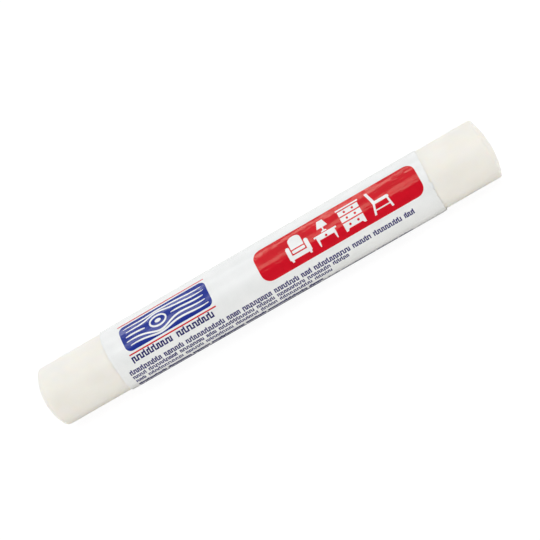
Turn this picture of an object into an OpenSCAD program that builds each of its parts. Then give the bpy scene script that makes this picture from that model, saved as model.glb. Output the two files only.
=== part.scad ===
// Furniture repair wax stick: a cast wax crayon with crowned ends,
// wrapped in a printed film label whose edges lap at the back.
// The stick lies along X and rests on its label at Z = 0.

/* [Wax stick] */
// Length over both crowned ends
stick_length = 88.9; // [84:0.1:110]
// Diameter of the cast wax
stick_diameter = 11.1; // [10:0.1:15]
// Height of the crown on the left end
left_crown = 1.6; // [0.8:0.1:2.4]
// Rounding where the left crown meets the side
left_edge_radius = 1; // [0.4:0.1:1.4]
// Height of the crown on the right end
right_crown = 1; // [0.6:0.1:2]
// Rounding where the right crown meets the side
right_edge_radius = 0.5; // [0.3:0.1:1]

/* [Label] */
// Width of the label along the stick
label_width = 62.8; // [60:0.1:66]
// Bare wax from the left tip to the label
label_margin = 14.5; // [8:0.1:15]
// Thickness of the film
film_thickness = 0.15; // [0.1:0.01:0.25]
// Thickness of the adhesive under the film
adhesive_thickness = 0.05; // [0.03:0.01:0.1]
// How far the label laps over its own start edge
lap_width = 3; // [1.5:0.1:5]
// Gap between the start edge and the step in the lap, filled by adhesive
seam_gap = 0.1; // [0.05:0.01:0.2]
// Angle of the printed face above the horizontal
face_angle = 45; // [35:1:55]

/* [Print] */
// Thickness of the ink
ink_thickness = 0.02; // [0.015:0.005:0.04]
// Space between the blue panel and the red one
panel_gap = 9.3; // [7:0.1:12]
// Height of the red panel round the label
red_height = 6.2; // [5.6:0.1:6.6]
// Corner radius of the red panel
red_corner = 1.7; // [0.8:0.1:2.4]
// Space between the red panel and the label's right edge
red_inset = 1.5; // [1:0.1:3]
// Middle of the red panel, above the line that faces the viewer
red_rise = 1.65; // [1.4:0.05:2.2]
// Height of a furniture picture in the red panel
picture_height = 4.4; // [3.4:0.1:4.8]
// Width of the blue panel
blue_width = 17.2; // [15:0.1:19]
// Height of the blue panel round the label
blue_height = 5; // [4.2:0.1:5.2]
// Corner radius of the blue panel
blue_corner = 1.1; // [0.6:0.1:1.8]
// Space between the blue panel and the label's left edge
blue_inset = 3.6; // [2:0.1:5]
// Middle of the blue panel, above the line that faces the viewer
blue_rise = 2.7; // [2.6:0.1:3.2]
// Line width of the wood grain in the blue panel
grain_stroke = 0.34; // [0.2:0.02:0.4]
// Height of a red rule
rule_height = 0.25; // [0.15:0.05:0.4]
// Space between a red rule and the blue panel
rule_gap = 0.35; // [0.2:0.05:0.5]
// Height of the heading's bars
heading_height = 1; // [0.6:0.05:1.1]
// Space between the lower red rule and the heading
heading_gap = 0.35; // [0.2:0.05:0.5]
// Height of the bars in the first line of small print
lead_height = 0.85; // [0.6:0.05:0.9]
// Height of the bars in the other lines
small_height = 0.7; // [0.4:0.05:0.8]
// Distance from one line of small print to the next
small_pitch = 1.15; // [1:0.05:1.3]
// First line of small print, below the line that faces the viewer
small_drop = 3.3; // [3.1:0.05:3.5]
// Space between the small print and the label's left edge
small_inset = 1.9; // [1.5:0.1:4]
// Space between two words
word_gap = 0.6; // [0.4:0.05:0.9]

/* [Hidden] */
// Segments of a full turn, fine enough that the thin ink stays out of the film
$fn = 192;
// Overrun of every cutting shape
overrun = 0.5;
// Radii from the axis outwards
wax_radius = stick_diameter / 2;
film_inner = wax_radius + adhesive_thickness;
label_radius = film_inner + film_thickness;
lap_inner = label_radius + adhesive_thickness;
lap_radius = lap_inner + film_thickness;
ink_radius = label_radius + ink_thickness;
// Ends of the label along the stick
label_left = label_margin - stick_length / 2;
label_right = label_left + label_width;
// Angles of the seam, counted from the back
half_turn = 180;
full_turn = 360;
quarter_turn = 90;
lap_angle = arc_angle(lap_width, label_radius);
lap_start = full_turn - lap_angle / 2;
riser_angle = arc_angle(film_thickness, label_radius);
gap_angle = arc_angle(seam_gap, label_radius);
// Middles of the panels along the stick
blue_middle = label_left + blue_inset + blue_width / 2;
red_width = label_width - blue_inset - blue_width - panel_gap - red_inset;
red_middle = label_right - red_inset - red_width / 2;
// Segments in a rounded corner of a panel
corner_steps = 6;
// Furniture pictures, measured from the middle of the red panel
picture_count = 4;
picture_width_share = 0.138;
picture_pitch_share = 0.168;
picture_width = red_width * picture_width_share;
picture_pitch = red_width * picture_pitch_share;
picture_left = -picture_pitch * (picture_count - 1) / 2 - picture_width / 2;
picture_base = -picture_height / 2;
// Outlines of the pictures, as shares of a picture's width and height
armchair_shares = [
    [[0.22, 0.47], [0.78, 0.47], [0.78, 0.8], [0.76, 0.87], [0.7, 0.93], [0.61, 0.97], [0.5, 0.98],
        [0.39, 0.97], [0.3, 0.93], [0.24, 0.87], [0.22, 0.8]],
    [[0.24, 0.3], [0.76, 0.3], [0.78, 0.32], [0.78, 0.4], [0.76, 0.42], [0.24, 0.42], [0.22, 0.4],
        [0.22, 0.32]],
    [[0.05, 0.08], [0.06, 0], [0.14, 0], [0.15, 0.08], [0.85, 0.08], [0.86, 0], [0.94, 0], [0.95, 0.08],
        [1, 0.12], [1, 0.56], [0.97, 0.62], [0.91, 0.64], [0.85, 0.62], [0.83, 0.57], [0.83, 0.25],
        [0.17, 0.25], [0.17, 0.57], [0.15, 0.62], [0.09, 0.64], [0.03, 0.62], [0, 0.56], [0, 0.12]]];
table_shares = [
    [[0, 0.45], [0, 0.38], [0.08, 0.38], [0.08, 0.24], [0.1, 0], [0.15, 0], [0.18, 0.24], [0.82, 0.24],
        [0.85, 0], [0.9, 0], [0.92, 0.24], [0.92, 0.38], [1, 0.38], [1, 0.45]],
    [[0.38, 0.48], [0.62, 0.48], [0.6, 0.53], [0.53, 0.55], [0.53, 0.66], [0.74, 0.66], [0.62, 0.98],
        [0.38, 0.98], [0.26, 0.66], [0.47, 0.66], [0.47, 0.55], [0.4, 0.53]]];
chest_shares = [
    [[0, 0.91], [1, 0.91], [1, 0.98], [0, 0.98]],
    [[0.05, 0.65], [0.95, 0.65], [0.95, 0.86], [0.05, 0.86]],
    [[0.05, 0.39], [0.95, 0.39], [0.95, 0.6], [0.05, 0.6]],
    [[0.05, 0], [0.14, 0], [0.2, 0.08], [0.8, 0.08], [0.86, 0], [0.95, 0], [0.95, 0.34], [0.05, 0.34]]];
chair_shares = [
    [[0.08, 0.98], [0.13, 0.8], [0.19, 0.6], [0.22, 0.42], [0.1, 0], [0.19, 0], [0.23, 0.14],
        [0.85, 0.14], [0.87, 0], [0.96, 0], [0.9, 0.4], [0.94, 0.44], [0.92, 0.5], [0.86, 0.52],
        [0.34, 0.52], [0.31, 0.62], [0.25, 0.8], [0.2, 0.98]]];
chair_opening_shares = [[[0.245, 0.19], [0.845, 0.19], [0.82, 0.4], [0.31, 0.4]]];
// Knobs: places in a picture, and radius as a share of its width
table_knob_shares = [[0.5, 0.31]];
chest_knob_shares = [[0.32, 0.755], [0.68, 0.755], [0.32, 0.495], [0.68, 0.495], [0.32, 0.21], [0.68, 0.21]];
knob_share = 0.05;
// Wood grain, as shares of the blue panel's half width and half height. Each line has
// its left end, right end, height and swell round the knot.
grain_line_shares = [[-0.9, 0.9, 0.66, 0.14], [-0.86, 0.92, 0.33, 0.33], [0.14, 0.88, 0, 0],
    [-0.9, -0.46, 0, 0], [-0.92, 0.88, -0.33, -0.33], [-0.87, 0.92, -0.66, -0.14]];
grain_wave_share = 0.05;
grain_end_share = 0.4;
grain_steps = 24;
// Knot in the grain: its place, how far the grain swells beside it, and its ring and eye
knot_place_share = -0.16;
knot_spread_share = 0.27;
knot_ring_shares = [0.18, 0.36];
knot_eye_shares = [0.07, 0.13];
// Edges of the rules and the heading, round the label
lower_rule = blue_rise - blue_height / 2 - rule_gap - rule_height;
upper_rule = blue_rise + blue_height / 2 + rule_gap;
heading_top = lower_rule - heading_gap;
// Heading bars, as shares of the blue panel's width, with the gap after each
heading_bar_shares = [0.46, 0.42];
// Word lengths of the small print, as shares of the label's width, used in turn
word_shares = [0.1, 0.06, 0.12, 0.04, 0.09, 0.075, 0.03, 0.11, 0.055, 0.085, 0.07, 0.05];
// Length of each line of small print, as a share of the label's width
fine_line_shares = [0.89, 0.68, 0.62, 0.59];
directions_line_shares = [0.86, 0.9, 0.82, 0.5];

// Angle that an arc of a given length spans
function arc_angle(arc, radius) = arc / (PI * radius) * half_turn;
// Height above a panel's middle, seen square on, of a point that lies this far round the label
function chord(arc) = label_radius * sin(arc_angle(arc, label_radius));

// Places the stick's own frame, X along its axis and Z out of the printed face, in the part's frame
module lie_down() {
    translate([0, 0, label_radius])
        rotate([quarter_turn - face_angle, 0, 0])
            children();
}

// Sector of a ring round the axis, between two angles counted from the back
module sector(inner, outer, left, right, from, to) {
    rotate([0, quarter_turn, 0])
        rotate([0, 0, from])
            rotate_extrude(angle = to - from)
                translate([inner, left])
                    square([outer - inner, right - left]);
}

// Rectangle on the label's surface, with its low and high edges measured round it from the front
module patch(left, right, low, high, inner = label_radius, outer = ink_radius) {
    sector(inner, outer, left, right,
        half_turn - arc_angle(high, label_radius), half_turn - arc_angle(low, label_radius));
}

// Ink printed as a flat drawing shows it, laid on the label round a middle point
module printed(middle, rise, width, height) {
    intersection() {
        rotate([-arc_angle(rise, label_radius), 0, 0])
            translate([middle, 0, 0])
                linear_extrude(ink_radius + overrun)
                    children();
        patch(middle - width, middle + width, rise - height, rise + height);
    }
}

// Outlines of a picture in a flat drawing, from its left side
module drawn(outline_shares, left) {
    for (outline = outline_shares)
        polygon([for (p = outline)
            [left + p[0] * picture_width, chord(picture_base + p[1] * picture_height)]]);
}

// Round knobs of a picture in a flat drawing
module knobs(place_shares, left) {
    for (p = place_shares)
        translate([left + p[0] * picture_width, chord(picture_base + p[1] * picture_height)])
            circle(picture_width * knob_share);
}

// Rectangle with round corners in a flat drawing
module flat_panel(width, height, corner) {
    across = width / 2 - corner;
    up = height / 2 - corner;
    corners = [[across, up], [-across, up], [-across, -up], [across, -up]];
    polygon([for (i = [0:len(corners) - 1], step = [0:corner_steps])
        let (a = quarter_turn * (i + step / corner_steps))
            [corners[i][0] + corner * cos(a), chord(corners[i][1] + corner * sin(a))]]);
}

// Rounded crown on one end of the wax profile, pointing up from the middle of the stick
module crown_profile(crown, edge) {
    rim = stick_length / 2 - crown;
    ball = (pow(wax_radius, 2) + pow(crown, 2)) / (2 * crown);
    ball_middle = stick_length / 2 - ball;
    edge_across = wax_radius - edge;
    edge_up = sqrt(pow(ball - edge, 2) - pow(edge_across, 2));
    reach = (ball + overrun) / (ball - edge);
    square([wax_radius, ball_middle + edge_up]);
    translate([edge_across, ball_middle + edge_up])
        circle(edge);
    intersection() {
        translate([0, ball_middle])
            circle(ball);
        polygon([[0, ball_middle], [edge_across * reach, ball_middle + edge_up * reach],
            [edge_across * reach, stick_length], [0, stick_length]]);
    }
}

// One cast piece of wax
module wax_stick() {
    color("ivory")
        lie_down()
            rotate([0, quarter_turn, 0])
                rotate_extrude() {
                    crown_profile(right_crown, right_edge_radius);
                    mirror([0, 1])
                        crown_profile(left_crown, left_edge_radius);
                }
}

// Adhesive: a full sleeve on the wax, the filling of the seam's gap and the coat under the lap
module label_adhesive() {
    color("gainsboro")
        lie_down() {
            sector(wax_radius, film_inner, label_left, label_right, 0, full_turn);
            sector(wax_radius, lap_inner, label_left, label_right, lap_start, lap_start + gap_angle);
            sector(label_radius, lap_inner, label_left, label_right, lap_start, lap_start + lap_angle);
        }
}

// Film: once round the stick, a step up over its own start edge, and the lap
module label_film() {
    color("whitesmoke")
        lie_down() {
            sector(film_inner, label_radius, label_left, label_right,
                lap_start + gap_angle - full_turn, lap_start);
            sector(film_inner, lap_radius, label_left, label_right, lap_start - riser_angle, lap_start);
            sector(lap_inner, lap_radius, label_left, label_right,
                lap_start - riser_angle, lap_start + lap_angle);
        }
}

// Armchair from the front, with a loose seat cushion
module armchair_picture(left) {
    drawn(armchair_shares, left);
}

// Side table with a drawer, and a lamp on it
module table_picture(left) {
    difference() {
        drawn(table_shares, left);
        knobs(table_knob_shares, left);
    }
}

// Chest with three drawers
module chest_picture(left) {
    difference() {
        drawn(chest_shares, left);
        knobs(chest_knob_shares, left);
    }
}

// Chair from the side
module chair_picture(left) {
    difference() {
        drawn(chair_shares, left);
        drawn(chair_opening_shares, left);
    }
}

// Red panel, with the furniture pictures left open
module red_panel_print() {
    color("crimson")
        lie_down()
            printed(red_middle, red_rise, red_width, red_height)
                difference() {
                    flat_panel(red_width, red_height, red_corner);
                    armchair_picture(picture_left);
                    table_picture(picture_left + picture_pitch);
                    chest_picture(picture_left + 2 * picture_pitch);
                    chair_picture(picture_left + 3 * picture_pitch);
                }
}

// Height of a grain line at a place along the panel, as a share of its half height
function grain_rise(place, line) = line[2]
    + line[3] * exp(-pow((place - knot_place_share) / knot_spread_share, 2))
    + grain_wave_share * sin(full_turn * place);

// One line of the wood grain, thinner towards its ends
module grain_line(line) {
    function place(i) = line[0] + (line[1] - line[0]) * i / grain_steps;
    function edge(i, side) = [blue_width / 2 * place(i), chord(blue_height / 2 * grain_rise(place(i), line)
        + side * grain_stroke / 2 * (1 - (1 - grain_end_share) * pow(2 * i / grain_steps - 1, 4)))];
    polygon(concat(
        [for (i = [0:grain_steps]) edge(i, 1)],
        [for (i = [0:grain_steps]) edge(grain_steps - i, -1)]));
}

// Outline round the knot, moved in or out
module knot_outline(half_shares, shift) {
    polygon([for (i = [0:grain_steps - 1])
        let (a = full_turn * i / grain_steps)
            [blue_width / 2 * knot_place_share + (blue_width / 2 * half_shares[0] + shift) * cos(a),
                chord((blue_height / 2 * half_shares[1] + shift) * sin(a))]]);
}

// Blue panel, with wood grain left open
module blue_panel_print() {
    color("midnightblue")
        lie_down()
            printed(blue_middle, blue_rise, blue_width, blue_height)
                difference() {
                    flat_panel(blue_width, blue_height, blue_corner);
                    for (line = grain_line_shares)
                        grain_line(line);
                    difference() {
                        knot_outline(knot_ring_shares, grain_stroke / 2);
                        knot_outline(knot_ring_shares, -grain_stroke / 2);
                    }
                    knot_outline(knot_eye_shares, 0);
                }
}

// Thin red rule below and above the blue panel
module red_rule_print() {
    color("crimson")
        lie_down()
            for (low = [lower_rule, upper_rule])
                patch(blue_middle - blue_width / 2, blue_middle + blue_width / 2, low, low + rule_height);
}

// Row of bars that stands where a line of words would be. The last one ends with the row.
module bar_row(left, right, low, height, bars, gap, first) {
    function bar_end(i) = i < 0 ? 0 : bar_end(i - 1) + bars[(first + i) % len(bars)] + gap;
    for (i = [0:2 * len(bars) - 1])
        if (left + bar_end(i - 1) + gap < right)
            patch(left + bar_end(i - 1), min(right, left + bar_end(i) - gap), low, low + height);
}

// Heading below the blue panel
module heading_print() {
    bars = [for (share = heading_bar_shares) share * blue_width];
    gap = (blue_width - total(bars)) / len(bars);
    color("midnightblue")
        lie_down()
            bar_row(blue_middle - blue_width / 2, blue_middle + blue_width / 2,
                heading_top - heading_height, heading_height, bars, gap, 0);
}

// Sum of a list
function total(list, i = 0) = i < len(list) ? list[i] + total(list, i + 1) : 0;

// Lines of small print, the first of them this many lines down
module small_lines(line_shares, first_line) {
    bars = [for (share = word_shares) share * label_width];
    left = label_left + small_inset;
    for (i = [0:len(line_shares) - 1])
        let (height = first_line + i == 0 ? lead_height : small_height)
            bar_row(left, left + label_width * line_shares[i],
                -small_drop - small_pitch * (first_line + i) - height / 2, height,
                bars, word_gap, first_line + 3 * i);
}

// Small print below the panels
module fine_print() {
    color("midnightblue")
        lie_down()
            small_lines(fine_line_shares, 0);
}

// Directions, further round the label
module directions_print() {
    color("midnightblue")
        lie_down()
            small_lines(directions_line_shares, len(fine_line_shares));
}

wax_stick();
label_adhesive();
label_film();
red_panel_print();
blue_panel_print();
red_rule_print();
heading_print();
fine_print();
directions_print();
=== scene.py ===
"""Looks of a furniture repair wax stick: cast wax, a wrapped paper-white label and its print."""
import math
import random

import bmesh
import bpy
from mathutils import Matrix, Vector, noise


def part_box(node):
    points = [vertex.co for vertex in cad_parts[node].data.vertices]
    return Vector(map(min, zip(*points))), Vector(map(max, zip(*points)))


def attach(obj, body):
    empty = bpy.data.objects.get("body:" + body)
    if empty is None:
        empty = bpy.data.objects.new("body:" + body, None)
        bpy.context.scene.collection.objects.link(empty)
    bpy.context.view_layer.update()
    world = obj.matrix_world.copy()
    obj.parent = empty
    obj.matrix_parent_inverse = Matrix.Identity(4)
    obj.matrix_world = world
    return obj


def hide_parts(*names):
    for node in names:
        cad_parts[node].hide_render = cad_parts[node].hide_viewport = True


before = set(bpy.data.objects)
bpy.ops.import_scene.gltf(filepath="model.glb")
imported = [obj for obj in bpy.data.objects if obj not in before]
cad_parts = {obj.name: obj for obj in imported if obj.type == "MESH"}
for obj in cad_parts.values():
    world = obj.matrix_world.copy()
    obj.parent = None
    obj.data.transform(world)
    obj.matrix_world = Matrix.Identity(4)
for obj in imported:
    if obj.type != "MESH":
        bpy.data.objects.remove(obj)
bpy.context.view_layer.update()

MM = 0.001
FULL_TURN = 2 * math.pi
QUARTER_TURN = math.pi / 2

# Sizes that the frame gives
wax_low, wax_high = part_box("wax_stick")
film_low, film_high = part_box("label_film")
AXIS_Z = (film_low.z + film_high.z) / 2
HALF_LENGTH = (wax_high.x - wax_low.x) / 2
WAX_RADIUS = (wax_high.z - wax_low.z) / 2
LABEL_RADIUS = (film_high.z - film_low.z) / 2
LABEL_LEFT = film_low.x
LABEL_RIGHT = film_high.x
LABEL_WIDTH = LABEL_RIGHT - LABEL_LEFT

# Sizes of the wax ends and the label sheet, as in the CAD model
LEFT_CROWN = 1.6 * MM
RIGHT_CROWN = 1.0 * MM
LEFT_EDGE = 1.0 * MM
RIGHT_EDGE = 0.5 * MM
FILM = 0.15 * MM
GLUE = LABEL_RADIUS - WAX_RADIUS - FILM
LAP = 3.0 * MM
FACE_ANGLE = math.radians(45)

# The printed face looks this way, and up across the label is the second one
FACING = Vector((0, -math.cos(FACE_ANGLE), math.sin(FACE_ANGLE)))
UPWARD = Vector((0, math.sin(FACE_ANGLE), math.cos(FACE_ANGLE)))
ALONG = Vector((1, 0, 0))


def smooth_step(t):
    """Rises smoothly from 0 to 1 as t does."""
    t = max(0.0, min(1.0, t))
    return t * t * (3 - 2 * t)


def bump_at(value, middle, spread):
    """Bell shape, 1 at the middle."""
    return math.exp(-((value - middle) / spread) ** 2)


def around(turn):
    """Direction out of the axis, turned up from the facing line."""
    return FACING * math.cos(turn) + UPWARD * math.sin(turn)


def ring_direction(arc):
    """Direction out of the axis at an arc round the label, measured up from the facing line."""
    return around(arc / LABEL_RADIUS)


def placed(right, above, toward, place):
    """Matrix of an object, from its three axes and its place."""
    return Matrix((
        (right.x, above.x, toward.x, place.x),
        (right.y, above.y, toward.y, place.y),
        (right.z, above.z, toward.z, place.z),
        (0, 0, 0, 1)))


# The camera, placed so that the stick lies in the picture as it does in the photograph
CAMERA_TURN = math.radians(0.5)
CAMERA_YAW = math.radians(6.86)
CAMERA_ROLL = math.radians(30)
CAMERA_DISTANCE = 298.9 * MM
# The point on the stick's axis that it is placed from, and how far the aim lies beside that point
AXIS_POINT = Vector((0.25 * MM, 0, AXIS_Z))
AIM_ALONG = 1.0 * MM
AIM_UP = 0.37 * MM
# Its lens and sensor in millimetres, and its nearest and farthest view in metres
LENS, SENSOR = 115.8, 36
NEAREST, FARTHEST = 0.01, 20


def make_camera():
    """Adds the camera in front of the label's printed face."""
    front = around(CAMERA_TURN)
    upright = UPWARD * math.cos(CAMERA_TURN) - FACING * math.sin(CAMERA_TURN)
    toward = front * math.cos(CAMERA_YAW) + ALONG * math.sin(CAMERA_YAW)
    side = ALONG * math.cos(CAMERA_YAW) - front * math.sin(CAMERA_YAW)
    right = side * math.cos(CAMERA_ROLL) - upright * math.sin(CAMERA_ROLL)
    above = side * math.sin(CAMERA_ROLL) + upright * math.cos(CAMERA_ROLL)
    place = AXIS_POINT + side * AIM_ALONG + upright * AIM_UP + toward * CAMERA_DISTANCE
    data = bpy.data.cameras.new("camera")
    data.lens = LENS
    data.sensor_width = SENSOR
    data.clip_start = NEAREST
    data.clip_end = FARTHEST
    camera = bpy.data.objects.new("camera", data)
    camera.matrix_world = placed(right, above, toward, place)
    bpy.context.scene.collection.objects.link(camera)
    bpy.context.scene.camera = camera


# Relief of the label: long faint ridges along the stick, soft dents and lifted edges
RIDGE_DEPTH = 0.008 * MM
RIDGE_LENGTH = 17 * MM
RIDGE_WIDTH = 2.3 * MM
DENT_DEPTH = 0.012 * MM
DENT_SIZE = 5.5 * MM
RIDGE_SEED, DENT_SEED = 3.1, 7.7
# Creases: place along, place round, half length, half width, depth
CREASES = [
    (16.6 * MM, 1.5 * MM, 1.3 * MM, 0.8 * MM, 0.02 * MM),
    (12.0 * MM, 2.6 * MM, 2.4 * MM, 0.5 * MM, 0.01 * MM),
    (-14.5 * MM, 2.2 * MM, 1.6 * MM, 0.9 * MM, 0.015 * MM),
    (3.5 * MM, 0.6 * MM, 2.2 * MM, 0.6 * MM, 0.01 * MM),
    (26.0 * MM, 3.4 * MM, 2.0 * MM, 0.7 * MM, 0.012 * MM),
    (-23.0 * MM, 9.5 * MM, 3.0 * MM, 0.9 * MM, 0.02 * MM),
    (8.0 * MM, 12.0 * MM, 5.0 * MM, 0.7 * MM, 0.015 * MM),
]
# How far in a lifted stretch of a cut edge reaches
EDGE_REACH = 0.9 * MM
# Lifted stretches of the two cut edges: side, place round, spread, height
EDGE_LIFTS = [
    (1, 0.1 * MM, 0.35 * MM, 0.1 * MM),
    (1, -1.5 * MM, 0.3 * MM, 0.1 * MM),
    (1, -2.9 * MM, 0.3 * MM, 0.08 * MM),
    (1, 11.0 * MM, 1.6 * MM, 0.05 * MM),
    (-1, -4.6 * MM, 0.9 * MM, 0.03 * MM),
    (-1, 2.4 * MM, 1.2 * MM, 0.03 * MM),
]
# Where the two cut edges run inside their line: side, place round, spread, depth
# The depths add up, so one below 0 takes a part of another away
EDGE_TRIMS = [
    (1, -4.0 * MM, 6.5 * MM, 0.28 * MM),
    (1, 0.45 * MM, 0.35 * MM, 0.1 * MM),
    (1, -0.1 * MM, 0.16 * MM, 0.22 * MM),
    (1, -1.5 * MM, 0.16 * MM, 0.2 * MM),
    (1, -2.9 * MM, 0.16 * MM, 0.2 * MM),
    (1, -0.6 * MM, 0.6 * MM, -0.08 * MM),
    (-1, -2.0 * MM, 5.5 * MM, 0.32 * MM),
]
# The cut edges are pressed on to the wax in front: depth, and how far in
EDGE_PRESS = 0.05 * MM
EDGE_PRESS_REACH = 0.4 * MM
# How far round to each side they are pressed, and over what length this ends
PRESSED_FACE = 6.5 * MM
PRESSED_FADE = 1.5 * MM
# The label stands off the wax a little along its lower right: place round, spread, reach along, height
FLARE = (-9.0 * MM, 3.0 * MM, 32 * MM, 0.09 * MM)


def cut_edge(side, arc):
    """Place along the stick of one cut edge of the label, which isn't quite straight."""
    inward = sum(depth * bump_at(arc, round_it, spread)
                 for trimmed, round_it, spread, depth in EDGE_TRIMS if trimmed == side)
    return LABEL_RIGHT - inward if side > 0 else LABEL_LEFT + inward


def relief(x, arc):
    """Height of the label's face over its plain cylinder, above it only where the label stands off."""
    ridge = noise.noise(Vector((x / RIDGE_LENGTH, arc / RIDGE_WIDTH, RIDGE_SEED)))
    dent = noise.noise(Vector((x / DENT_SIZE, arc / DENT_SIZE, DENT_SEED)))
    height = RIDGE_DEPTH * (ridge - 1) + DENT_DEPTH * (dent - 1) / 2
    for middle, round_it, long, wide, deep in CREASES:
        height -= deep * bump_at(x, middle, long) * bump_at(arc, round_it, wide)
    for side, round_it, spread, lift in EDGE_LIFTS:
        inward = (LABEL_RIGHT - x) if side > 0 else (x - LABEL_LEFT)
        height += lift * bump_at(arc, round_it, spread) * (1 - smooth_step(inward / EDGE_REACH))
    nearest = min(cut_edge(1, arc) - x, x - cut_edge(-1, arc))
    pressed = 1 - smooth_step((abs(arc) - PRESSED_FACE) / PRESSED_FADE)
    height -= EDGE_PRESS * pressed * (1 - smooth_step(nearest / EDGE_PRESS_REACH))
    round_it, spread, reach, lift = FLARE
    return height + lift * bump_at(arc, round_it, spread) * smooth_step(1 - (LABEL_RIGHT - x) / reach)


def on_label(x, arc, lift=0.0):
    """Point on the label's face, or this far above it."""
    out = ring_direction(arc)
    return Vector((x, 0, AXIS_Z)) + out * (LABEL_RADIUS + relief(x, arc) + lift)


# Step over which the slope of the label's face is taken
SLOPE_STEP = 0.05 * MM


def label_normal(x, arc):
    """Outward normal of the label's face."""
    across = on_label(x + SLOPE_STEP, arc) - on_label(x - SLOPE_STEP, arc)
    up = on_label(x, arc + SLOPE_STEP) - on_label(x, arc - SLOPE_STEP)
    return across.cross(up).normalized()


def new_object(name, mesh):
    """Adds an object with this mesh to the scene."""
    made = bpy.data.objects.new(name, mesh)
    bpy.context.scene.collection.objects.link(made)
    return made


def mesh_from(made, name, sharp=None):
    """Mesh data of a bmesh, smooth but for edges sharper than the given angle."""
    bmesh.ops.recalc_face_normals(made, faces=made.faces)
    data = bpy.data.meshes.new(name)
    made.to_mesh(data)
    made.free()
    data.shade_smooth()
    if sharp:
        data.set_sharp_from_angle(angle=sharp)
    return data


def finish_piece(name, mesh, material, node):
    """Makes the piece, gives it its finish and lets it stand for a CAD node."""
    made = new_object(name, mesh)
    mesh.materials.append(material)
    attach(made, "root")
    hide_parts(node)


# Materials

# Wrinkles of the label that only its shading shows: long streaks and round patches
# STREAK_PACE is how fast the streaks change along the stick, as a share of how fast they do across
STREAK_WIDTH, STREAK_DEPTH, STREAK_DETAIL = 0.9 * MM, 0.07 * MM, 3
STREAK_PACE = 0.13
PATCH_SIZE, PATCH_DEPTH, PATCH_DETAIL = 2.6 * MM, 0.12 * MM, 2
WRINKLE_STRENGTH = 0.6
# Values of a noise between which a blend of two colours runs
BLEND_SPAN = (0.3, 0.7)


def new_material(name):
    """Node material with a Principled shader. Returns the material, its node tree and the shader."""
    made = bpy.data.materials.new(name)
    made.use_nodes = True
    tree = made.node_tree
    return made, tree, tree.nodes["Principled BSDF"]


def object_coords(tree):
    """Place on the object, in its own frame."""
    return tree.nodes.new("ShaderNodeTexCoord").outputs["Object"]


def noise_node(tree, size, detail, place):
    """Noise with grains about this size."""
    made = tree.nodes.new("ShaderNodeTexNoise")
    made.inputs["Scale"].default_value = 1 / size
    made.inputs["Detail"].default_value = detail
    tree.links.new(place, made.inputs["Vector"])
    return made.outputs["Fac"]


def ramp_node(tree, factor, low, high, span=BLEND_SPAN):
    """Turns a factor into a blend from one colour or grey to another."""
    made = tree.nodes.new("ShaderNodeValToRGB")
    ends = made.color_ramp.elements
    ends[0].position, ends[1].position = span
    for end, value in zip(ends, (low, high)):
        end.color = (*value, 1) if isinstance(value, tuple) else (value, value, value, 1)
    tree.links.new(factor, made.inputs["Fac"])
    return made.outputs["Color"]


def bump_node(tree, height, depth, strength, under=None):
    """Normal that a height gives, over that of another bump if there is one."""
    made = tree.nodes.new("ShaderNodeBump")
    made.inputs["Strength"].default_value = strength
    made.inputs["Distance"].default_value = depth
    tree.links.new(height, made.inputs["Height"])
    if under:
        tree.links.new(under, made.inputs["Normal"])
    return made.outputs["Normal"]


def maths(tree, operation, first, second=None):
    """Value of one Math node. Its inputs are sockets or numbers."""
    made = tree.nodes.new("ShaderNodeMath")
    made.operation = operation
    for place, value in enumerate((first, second)):
        if isinstance(value, (int, float)):
            made.inputs[place].default_value = value
        elif value is not None:
            tree.links.new(value, made.inputs[place])
    return made.outputs[0]


def span_node(tree, value, span, low, high):
    """Turns a length into a blend from one number to another over a short span."""
    made = tree.nodes.new("ShaderNodeMapRange")
    for name, number in zip(("From Min", "From Max", "To Min", "To Max"), (*span, low, high)):
        made.inputs[name].default_value = number
    tree.links.new(value, made.inputs["Value"])
    return made.outputs["Result"]


def ray_kind(tree, *kinds):
    """1 for rays of any of these kinds."""
    path = tree.nodes.new("ShaderNodeLightPath")
    total = path.outputs[kinds[0]]
    for kind in kinds[1:]:
        total = maths(tree, "MAXIMUM", total, path.outputs[kind])
    return total


def feed(tree, shader, colour, roughness, normal=None):
    """Links a colour, a roughness and, if there is a bump, a normal to the shader."""
    tree.links.new(colour, shader.inputs["Base Color"])
    tree.links.new(roughness, shader.inputs["Roughness"])
    if normal:
        tree.links.new(normal, shader.inputs["Normal"])


def streak_bump(tree, place, gain=1):
    """Fine wrinkles that run along the label, in the same places under the ink as beside it."""
    stretch = tree.nodes.new("ShaderNodeMapping")
    stretch.inputs["Scale"].default_value = (STREAK_PACE, 1, 1)
    tree.links.new(place, stretch.inputs["Vector"])
    patches = noise_node(tree, PATCH_SIZE, PATCH_DETAIL, place)
    streaks = noise_node(tree, STREAK_WIDTH, STREAK_DETAIL, stretch.outputs["Vector"])
    patchy = bump_node(tree, patches, PATCH_DEPTH * gain, WRINKLE_STRENGTH)
    return bump_node(tree, streaks, STREAK_DEPTH * gain, WRINKLE_STRENGTH, patchy)


# The wax: grain sizes with their detail, colours, roughness, and bump depths with their strength
WAX_CLOUD = (5 * MM, 2)
WAX_GRAIN = (0.5 * MM, 4)
WAX_SKIN = (0.12 * MM, 3)
WAX_COLOURS = ((0.833, 0.814, 0.757), (0.867, 0.847, 0.794))
WAX_ROUGHNESS = (0.36, 0.48)
WAX_GRAIN_BUMP = (0.02 * MM, 0.25)
WAX_SKIN_BUMP = (0.006 * MM, 0.25)
WAX_IOR = 1.44
WAX_SPECULAR = 0.4
# Light that sinks into the wax: its share, and how far it goes by colour
WAX_SINK_SHARE = 0.5
WAX_SINK_COLOURS = (1.0, 0.8, 0.55)
WAX_SINK_REACH = 0.6 * MM


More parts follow.
